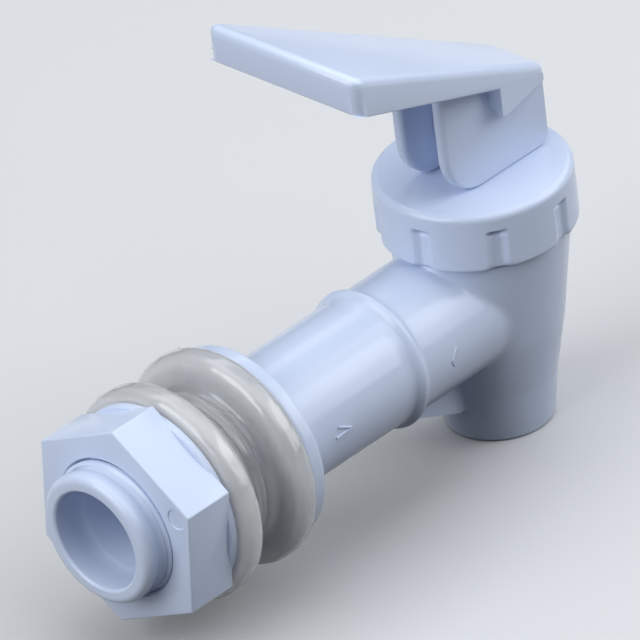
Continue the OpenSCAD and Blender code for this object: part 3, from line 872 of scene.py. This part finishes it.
def cap_outline(s):
    """Section of the cap, as (radius, z) pairs: top plate, boss and skirt."""
    radius = CAP_HIGH.x
    bottom = CAP_LOW.z
    inside = CAP_TOP - s.top_thickness
    line = [(s.bore_radius, CAP_TOP)]
    line += between(line[-1], (radius - s.edge_round, CAP_TOP), 2.0)[:-1]
    line += arc(radius - s.edge_round, CAP_TOP - s.edge_round, s.edge_round, 90, 0, 8)
    line += between(line[-1], (radius, bottom + s.skirt_round), 0.22)[:-1]
    line += arc(radius - s.skirt_round, bottom + s.skirt_round, s.skirt_round, 0, -90, 5)
    line += [(s.inside_radius, bottom), (s.inside_radius, inside),
             (s.boss_radius, inside), (s.boss_radius, inside - s.boss_length),
             (s.bore_radius, inside - s.boss_length)]
    return line + line[:1]


def smooth_step(value, low, high):
    """0 below low, 1 above high and a smooth rise in between."""
    share = min(1, max(0, (value - low) / (high - low)))
    return share * share * (3 - 2 * share)


# Where the smooth slopes of a groove's side, top and pocket start and end, from its edge or top
GROOVE_SIDE, GROOVE_TOP, POCKET_FOOT = (-0.8, 0.55), (-0.35, 0.1), (-1.1, -0.4)
# How far a panel between two grooves is rounded at its lower corners: aside, up and in
PANEL_CORNER = (1.1, 1.0, 0.3)


class SPIGOT_OT_cap(bpy.types.Operator):
    """Cap: round top, and a skirt with grip grooves that end in pockets"""
    bl_idname = "spigot.cap"
    bl_label = "Cap"

    def execute(self, context):
        s = Millimetres(context.scene.spigot_cap)
        cap = turned("grip_cap", cap_outline(s), "Z", (0, AXIS_Y, 0), steps=720)
        pitch = 2 * math.pi / s.grooves
        half, top = s.groove_width / 2, CAP_TOP - s.groove_drop
        reach, rise, inset = PANEL_CORNER
        for vertex in cap.data.vertices:
            along = vertex.co.y - AXIS_Y
            radius = math.hypot(vertex.co.x, along)
            # Only the skirt's outside is grooved
            if radius < s.inside_radius + 0.6 or vertex.co.z > CAP_TOP - s.edge_round:
                continue
            turn = math.atan2(along, vertex.co.x) - math.pi / 2 - s.groove_turn
            aside = abs((turn + pitch / 2) % pitch - pitch / 2) * CAP_HIGH.x
            within = 1 - smooth_step(aside, *(half + part for part in GROOVE_SIDE))
            below = 1 - smooth_step(vertex.co.z, *(top + part for part in GROOVE_TOP))
            pocket = smooth_step(vertex.co.z, *(top + part for part in POCKET_FOOT))
            depth = within * below * (s.groove_depth + s.pocket_depth * pocket)
            corner = 1 - smooth_step(aside, half, half + reach)
            low = 1 - smooth_step(vertex.co.z, CAP_LOW.z, CAP_LOW.z + rise)
            depth += inset * corner * low * (1 - within)
            share = (radius - depth) / radius
            vertex.co.x *= share
            vertex.co.y = AXIS_Y + along * share
        finish_piece(cap, "tap", "white_plastic", "bonnet_cap")
        return {"FINISHED"}


# Lever

def rear_height(s):
    """Height over the cap, at the lever's rear face, of a point inside the paddle."""
    slopes = math.tan(s.top_slope) + math.tan(s.under_slope)
    return (s.top_height + s.under_height - s.rear * slopes) / 2


def under_at(s, y):
    """Height over the cap of the paddle's underside, at y from the pivot."""
    return s.under_height + y * math.tan(s.under_slope)


def upper_reach(s):
    """Distance from the pivot to the upper edge of the paddle's tip."""
    lean, slope = math.tan(s.tip_lean), math.tan(s.top_slope)
    drop = s.top_height - s.under_height - s.reach * math.tan(s.under_slope)
    return (s.reach - drop * lean) / (1 + slope * lean)


def half_width(s, y):
    """Half the paddle's width at y from the pivot."""
    share = (y + s.rear) / (max(s.reach, upper_reach(s)) + s.rear)
    return s.rear_half_width + share * (s.tip_half_width - s.rear_half_width)


def paddle(s):
    """Wedge of the paddle: a cube drawn out to its eight corners, with rounded edges."""
    tip = upper_reach(s)
    obj = add("cube", "lever", size=1)
    for vertex in obj.data.vertices:
        upper = vertex.co.z > 0
        y = -s.rear if vertex.co.y < 0 else tip if upper else s.reach
        side = 1 if vertex.co.x > 0 else -1
        height = s.top_height + y * math.tan(s.top_slope) if upper else under_at(s, y)
        vertex.co = (side * half_width(s, y), AXIS_Y + y, CAP_TOP + height)
    middle = CAP_TOP + (s.top_height + s.under_height) / 2
    slope = math.tan((s.top_slope + s.under_slope) / 2)

    def share(a, b):
        upper = [p.z > middle + (p.y - AXIS_Y) * slope for p in (a, b)]
        at_tip = min(a.y, b.y) > AXIS_Y + tip - 1
        at_rear = max(a.y, b.y) < AXIS_Y - s.rear + 1
        if upper[0] != upper[1]:
            cut = s.corner_cut if at_tip else s.under_cut
        elif upper[0] and not at_rear:
            cut = s.tip_cut if at_tip else s.top_cut
        else:
            cut = s.under_cut
        return cut / s.corner_cut
    round_edges(obj, s.corner_cut, share, 6)
    return obj


def lever_prism(name, outline, one_side, other_side):
    """A prism between two places across the lever, with (y, z) from the pivot and the cap's top."""
    points = [(AXIS_Y + y, CAP_TOP + z) for y, z in outline]
    return prism(name, points, *sorted((one_side, other_side)))


# Heights over the cap between which the cheeks' front edges grow rounder
CHEEK_ROUNDING = (0.8, 4.0)


def cheek(s, side):
    """One cheek with a flat foot and the round cam corner in front."""
    cam = s.cheek_front - s.pivot_height
    gap = 0.05
    outline = [(-s.rear, rear_height(s)), (-s.rear, gap + s.heel_chamfer),
               (-s.rear + s.heel_chamfer, gap)]
    outline += arc(cam, s.pivot_height, s.pivot_height - gap, -90, 0, 16)
    # The cheek ends inside the paddle, 0.6 mm over its underside
    outline += [(s.cheek_front - gap,
                 s.under_height - 1 + s.cheek_front * math.tan(s.under_slope) + 1.6)]
    obj = lever_prism("cheek", outline, side * s.cheek_half_width,
                      side * (s.cheek_half_width - s.cheek_thickness))

    def share(a, b):
        if abs(a.x - b.x) > 0.01:
            return 0
        low = s.foot_round / s.cheek_round
        in_front = min(a.y, b.y) > AXIS_Y
        rise = smooth_step((a.z + b.z) / 2 - CAP_TOP, *CHEEK_ROUNDING) if in_front else 0
        return low + (1 - low) * rise
    round_edges(obj, s.cheek_round, share, 4)
    return obj


def tooth(s, side):
    """Side tooth under the paddle's rear half, cut to the paddle's slanting side."""
    outline = [(-s.rear, rear_height(s)), (-s.rear, s.tooth_height)]
    outline += arc(s.tooth_front - s.tooth_round, s.tooth_height + s.tooth_round, s.tooth_round,
                   -90, 0, 6)
    outline += [(s.tooth_front, s.under_height + 1.0)]
    obj = lever_prism("tooth", outline, side * (s.cheek_half_width - 1), side * s.tip_half_width)
    growth = s.tip_half_width - s.rear_half_width
    normal = Vector((side * (s.reach + s.rear), -growth, 0)).normalized()
    edit_all()
    bpy.ops.mesh.bisect(plane_co=(side * s.rear_half_width, AXIS_Y - s.rear, 0), plane_no=normal,
                        use_fill=True, clear_outer=True)
    close_up(obj)
    return obj


def flash_spike(s):
    """Thin spike of flash at the parting line on the paddle's far tip corner."""
    inset, height, sunk = 0.75, 1.6, 0.18
    out = Vector((1, 1, 0)).normalized()
    corner = Vector((s.tip_half_width - inset, AXIS_Y + s.reach - inset,
                     CAP_TOP + under_at(s, s.reach) + height))
    return add("cone", "flash_spike", vertices=12, radius1=0.5, radius2=0.08, depth=1.0,
               location=corner - out * sunk, rotation=out.to_track_quat("Z", "Y").to_euler())


class SPIGOT_OT_lever(bpy.types.Operator):
    """Lever: wedge paddle, two cheeks with a cam corner and two side teeth"""
    bl_idname = "spigot.lever"
    bl_label = "Lever"

    def execute(self, context):
        s = Millimetres(context.scene.spigot_lever)
        lever = paddle(s)
        parts = [make(s, side) for side in (-1, 1) for make in (cheek, tooth)]
        parts.append(flash_spike(s))
        combine(lever, parts, "UNION")
        sockets = add("cylinder", "sockets", vertices=48, radius=s.pivot_radius,
                      depth=2 * s.socket_depth, location=(0, AXIS_Y, CAP_TOP + s.pivot_height),
                      rotation=(0, math.pi / 2, 0))
        combine(lever, [sockets], "DIFFERENCE")
        # The rounded tip rises no higher than the source's
        for vertex in lever.data.vertices:
            vertex.co.z = min(vertex.co.z, LEVER_TOP)
        finish_piece(lever, "lever", "white_plastic", "lever_handle")
        return {"FINISHED"}


# Lock nut

# Centre of the nut's ejector mark
NUT_MARK = (-11.7, 0, 5.4)
# Edge of the bearing face, as steps out from its radius and up from its lowest plane
NUT_FACE = ((-0.15, 0), (0, 0.12), (0, 0.6), (-0.3, 1.0))


class SPIGOT_OT_nut(bpy.types.Operator):
    """Lock nut: hexagon with a round bearing face, a chamfered bore and its thread"""
    bl_idname = "spigot.nut"
    bl_label = "Lock nut"

    def execute(self, context):
        s = Millimetres(context.scene.spigot_nut)
        pitch = context.scene.spigot_body.thread_pitch / MM
        base, low, high = NUT_LOW.y, NUT_LOW.y + s.face_height, NUT_HIGH.y
        nut = add("cylinder", "nut", vertices=6, radius=s.across_flats / math.sqrt(3),
                  depth=high - low)
        for vertex in nut.data.vertices:
            turn = math.atan2(vertex.co.y, vertex.co.x) - math.pi / 2 + s.corner_turn
            radius = math.hypot(vertex.co.x, vertex.co.y)
            y = high if vertex.co.z > 0 else low
            vertex.co = (radius * math.cos(turn), y, radius * math.sin(turn))
        bpy.ops.object.mode_set(mode="EDIT")
        close_up(nut)
        round_edges(nut, s.edge_round, lambda a, b: True, 3)
        face = [(s.face_radius + out, base + up) for out, up in NUT_FACE]
        face = turned("face", [(0, base)] + face + [(0, face[-1][1])], "Y")
        wide = s.bore_radius + s.chamfer
        hole = turned("hole", [(0, base - 1), (wide, base - 1), (wide, base),
                               (s.bore_radius, base + s.chamfer), (s.bore_radius, high - s.chamfer),
                               (wide, high), (wide, high + 1), (0, high + 1)], "Y")
        combine(nut, [face], "UNION")
        combine(nut, [hole], "DIFFERENCE")
        bottom = high - s.mark_depth
        mark = turned("mark", [(0, bottom), (s.mark_radius - 0.08, bottom), (s.mark_radius, high),
                               (s.mark_radius, high + 1), (0, high + 1)], "Y", NUT_MARK, steps=48)
        combine(nut, [mark], "DIFFERENCE")
        finish_piece(nut, "nut", "white_plastic", "lock_nut")
        ridge = thread_ridge("nut_thread", s.bore_radius + RIDGE_SUNK, s.bore_radius - RIDGE_HEIGHT,
                             pitch, base + NUT_RIDGE_START, high - NUT_RIDGE_END)
        finish_piece(ridge, "nut", "white_plastic")
        return {"FINISHED"}


# Washers

DISC_RADIUS = REAR_HIGH.x
HUB_LENGTH = REAR_HIGH.y
# Sealing ridge round a hub, as shares of its height outwards and along
SEALING_RIDGE = ((0, -1.3), (0.7, -0.5), (1, 0), (0.7, 0.5), (0, 1.3))
# Bumps on the rear washer's rim and pits in the front one's, as (y, angle round the shank)
BUMPS = ((-1.4, 42), (-3.0, 62))
PITS = ((9.4, 118.5), (7.5, 166))


def washer(name, s, seat, facing):
    """A washer whose disc lies behind y = seat and whose hub points along facing, 1 or -1."""
    rim, edge = DISC_RADIUS - s.rim_round, 0.15
    line = [(s.bore_radius, -s.thickness + edge), (s.bore_radius + edge, -s.thickness)]
    line += between(line[-1], (rim, -s.thickness), 1.2)[:-1]
    line += arc(rim, s.rim_round - s.thickness, s.rim_round, -90, 0, 8)
    line += arc(rim, -s.rim_round, s.rim_round, 0, 90, 8)
    line += between(line[-1], (s.hub_radius + s.hub_fillet, 0), 1.0)[:-1]
    line += arc(s.hub_radius + s.hub_fillet, s.hub_fillet, s.hub_fillet, 270, 180, 6)
    middle = HUB_LENGTH / 2 + 0.3
    line += [(s.hub_radius + s.ridge * out, middle + s.ridge * along)
             for out, along in SEALING_RIDGE]
    line += [(s.hub_radius, HUB_LENGTH - s.ridge),
             (s.hub_radius - s.ridge * 0.3, HUB_LENGTH - s.ridge * 0.3),
             (s.hub_radius - s.ridge, HUB_LENGTH), (s.bore_radius, HUB_LENGTH)]
    outline = [(radius, seat + facing * y) for radius, y in line + line[:1]]
    return turned(name, outline, "Y", steps=128)


def lump_on_rim(y, degrees, radius, sunk):
    """A small round lump whose middle is sunk below the washers' rim."""
    turn, out = math.radians(degrees), DISC_RADIUS - sunk
    return add("ico_sphere", "lump", subdivisions=2, radius=radius,
               location=(out * math.cos(turn), y, out * math.sin(turn)))


class SPIGOT_OT_washers(bpy.types.Operator):
    """Washers: two milky silicone discs with ridged hubs, one on each side of the wall"""
    bl_idname = "spigot.washers"
    bl_label = "Washers"

    def execute(self, context):
        s = Millimetres(context.scene.spigot_washer)
        rear = washer("wall_washer_rear", s, 0, 1)
        combine(rear, [lump_on_rim(*spot, radius=0.32, sunk=0.35) for spot in BUMPS], "UNION")
        finish_piece(rear, "tap", "clear_silicone", "rear_washer")
        front = washer("wall_washer_front", s, FRONT_SEAT - s.thickness, -1)
        combine(front, [lump_on_rim(*spot, radius=0.2, sunk=0) for spot in PITS], "DIFFERENCE")
        finish_piece(front, "inner_washer", "clear_silicone", "front_washer")
        return {"FINISHED"}


# Spring

class SPIGOT_OT_spring(bpy.types.Operator):
    """Return spring: round wire wound between the stem's collar and the cap"""
    bl_idname = "spigot.spring"
    bl_label = "Return spring"

    def execute(self, context):
        s = Millimetres(context.scene.spigot_spring)
        radius = s.wire / 2
        mean = SPRING_HIGH.x - radius
        height = SPRING_HIGH.z - SPRING_LOW.z - s.wire
        ring = [(mean + x, AXIS_Y, SPRING_LOW.z + radius + z)
                for x, z in arc(0, 0, radius, 0, 360, 16)]
        coil = draw_line("spring_coil", ring)
        bpy.ops.mesh.remove_doubles(threshold=SAME_POINT)
        bpy.ops.transform.translate(value=(0, -AXIS_Y, 0))
        bpy.ops.object.mode_set(mode="OBJECT")
        modify(coil, "SCREW", axis="Z", angle=2 * math.pi * s.turns, screw_offset=height,
               steps=s.turns * 48, render_steps=s.turns * 48, iterations=1)
        edit_all()
        bpy.ops.transform.translate(value=(0, AXIS_Y, 0))
        close_ends(coil)
        finish_piece(coil, "tap", "spring_steel", "return_spring")
        lift = next(j for j in frame["joints"] if j["name"] == "stem_lift")["range_m"][1]
        tall = (SPRING_HIGH.z - SPRING_LOW.z) * MM
        SPRING_HIGH.z * MM
        1 - lift / tall
        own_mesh(coil)
        return {"FINISHED"}


# Nodes that keep their own shape

class SPIGOT_OT_carried(bpy.types.Operator):
    """Stem, valve plug, gasket and O-ring: the frame's own shapes with their finishes"""
    bl_idname = "spigot.carried"
    bl_label = "Stem and seals"

    def execute(self, context):
        slots = {"valve_stem": "white_plastic", "valve_plug": "inner_silicone",
                 "bonnet_gasket": "inner_silicone", "stem_o_ring": "inner_silicone"}
        for node, slot in slots.items():
            mesh = frame["nodes"][node].data
            mesh.materials.clear()
            mesh.materials.append(finish_of(slot))
        return {"FINISHED"}


# Stage

# The point in the middle of the picture, in millimetres
CAMERA_TARGET = (5.23, -27.15, 6.16)
# Tints of the lights and of the room
LIGHT_TINT = (0.945, 0.97, 1)
ROOM_TINT = (0.93, 0.95, 1, 1)
# The middle of the object, and the place, aim, width and depth of each softbox, in metres
MIDDLE = (0, -0.03, 0)
SOFTBOXES = {
    "overhead": ((-0.265, -0.55, 0.7), (-0.265, -0.55, 0), 1.73, 1.7),
    "front": ((0.15, 0.80, 0.55), MIDDLE, 0.8, 0.8),
    "back": ((-0.74, -0.76, 0.5), MIDDLE, 0.7, 0.85),
}


def softbox(name, place, aim, width, depth, watts):
    """A rectangular softbox at place, turned to aim."""
    bpy.ops.object.light_add(type="AREA", location=place)
    lamp = bpy.context.object
    lamp.name = name
    lamp.data.shape = "RECTANGLE"
    lamp.data.size, lamp.data.size_y = width, depth
    lamp.data.energy = watts
    lamp.data.color = LIGHT_TINT
    lamp.rotation_mode = "QUATERNION"
    lamp.rotation_quaternion = (Vector(aim) - Vector(place)).to_track_quat("-Z", "Y")


def place_camera(s):
    """The camera at the photograph's angle, aimed at the middle of the object."""
    around, above, tilt = s.azimuth, s.elevation, s.roll
    back = Vector((math.sin(around) * math.cos(above), -math.cos(around) * math.cos(above),
                   math.sin(above)))
    target = Vector(CAMERA_TARGET) * MM
    bpy.ops.object.camera_add(location=target + back * s.distance)
    camera = bpy.context.object
    level_right = (-back).cross(Vector((0, 0, 1))).normalized()
    level_up = level_right.cross(-back)
    right = level_right * math.cos(tilt) + level_up * math.sin(tilt)
    up = -level_right * math.sin(tilt) + level_up * math.cos(tilt)
    camera.rotation_mode = "QUATERNION"
    camera.rotation_quaternion = Matrix((right, up, back)).transposed().to_quaternion()
    camera.data.lens = s.lens
    camera.data.sensor_width = 36
    camera.data.clip_start, camera.data.clip_end = 0.05, 50
    bpy.context.scene.camera = camera


class SPIGOT_OT_stage(bpy.types.Operator):
    """Stage: camera, soft lights, pale room and floor"""
    bl_idname = "spigot.stage"
    bl_label = "Stage"

    def execute(self, context):
        s = context.scene.spigot_stage
        place_camera(s)
        for name, place_and_size in SOFTBOXES.items():
            softbox(f"{name}_softbox", *place_and_size, getattr(s, name))
        floor = add("plane", "floor", size=8, location=(0, 0, BODY_LOW.z * MM))
        bpy.ops.object.transform_apply(location=True, rotation=True, scale=True)
        floor.data.materials.append(floor_paper(context.scene.spigot_finish))
        world = bpy.data.worlds.new("room")
        world.use_nodes = True
        background = world.node_tree.nodes["Background"]
        background.inputs["Color"].default_value = ROOM_TINT
        background.inputs["Strength"].default_value = s.ambient
        context.scene.world = world
        context.scene.view_settings.view_transform = "Standard"
        return {"FINISHED"}


OPERATORS = (SPIGOT_OT_stage, SPIGOT_OT_tap_body, SPIGOT_OT_cap, SPIGOT_OT_lever, SPIGOT_OT_nut,
             SPIGOT_OT_washers, SPIGOT_OT_spring, SPIGOT_OT_carried)


class SPIGOT_PT_panel(bpy.types.Panel):
    """Buttons and sizes of the spigot in the sidebar"""
    bl_idname = "SPIGOT_PT_panel"
    bl_label = "Jug Spigot"
    bl_space_type = "VIEW_3D"
    bl_region_type = "UI"
    bl_category = "Spigot"

    def draw(self, context):
        for operator in OPERATORS:
            self.layout.operator(operator.bl_idname)
        for name, group in GROUPS.items():
            box = self.layout.box()
            box.label(text=group.__doc__)
            for key in group.__annotations__:
                box.prop(getattr(context.scene, name), key)


def register():
    for group in GROUPS.values():
        bpy.utils.register_class(group)
    for name, group in GROUPS.items():
        setattr(bpy.types.Scene, name, bpy.props.PointerProperty(type=group))
    for operator in OPERATORS:
        bpy.utils.register_class(operator)
    bpy.utils.register_class(SPIGOT_PT_panel)


def unregister():
    bpy.utils.unregister_class(SPIGOT_PT_panel)
    for operator in reversed(OPERATORS):
        bpy.utils.unregister_class(operator)
    for name, group in GROUPS.items():
        delattr(bpy.types.Scene, name)
        bpy.utils.unregister_class(group)


def main():
    register()
    for operator in OPERATORS:
        category, name = operator.bl_idname.split(".")
        getattr(getattr(bpy.ops, category), name)()
    bpy.context.view_layer.update()


if __name__ == "__main__":
    main()
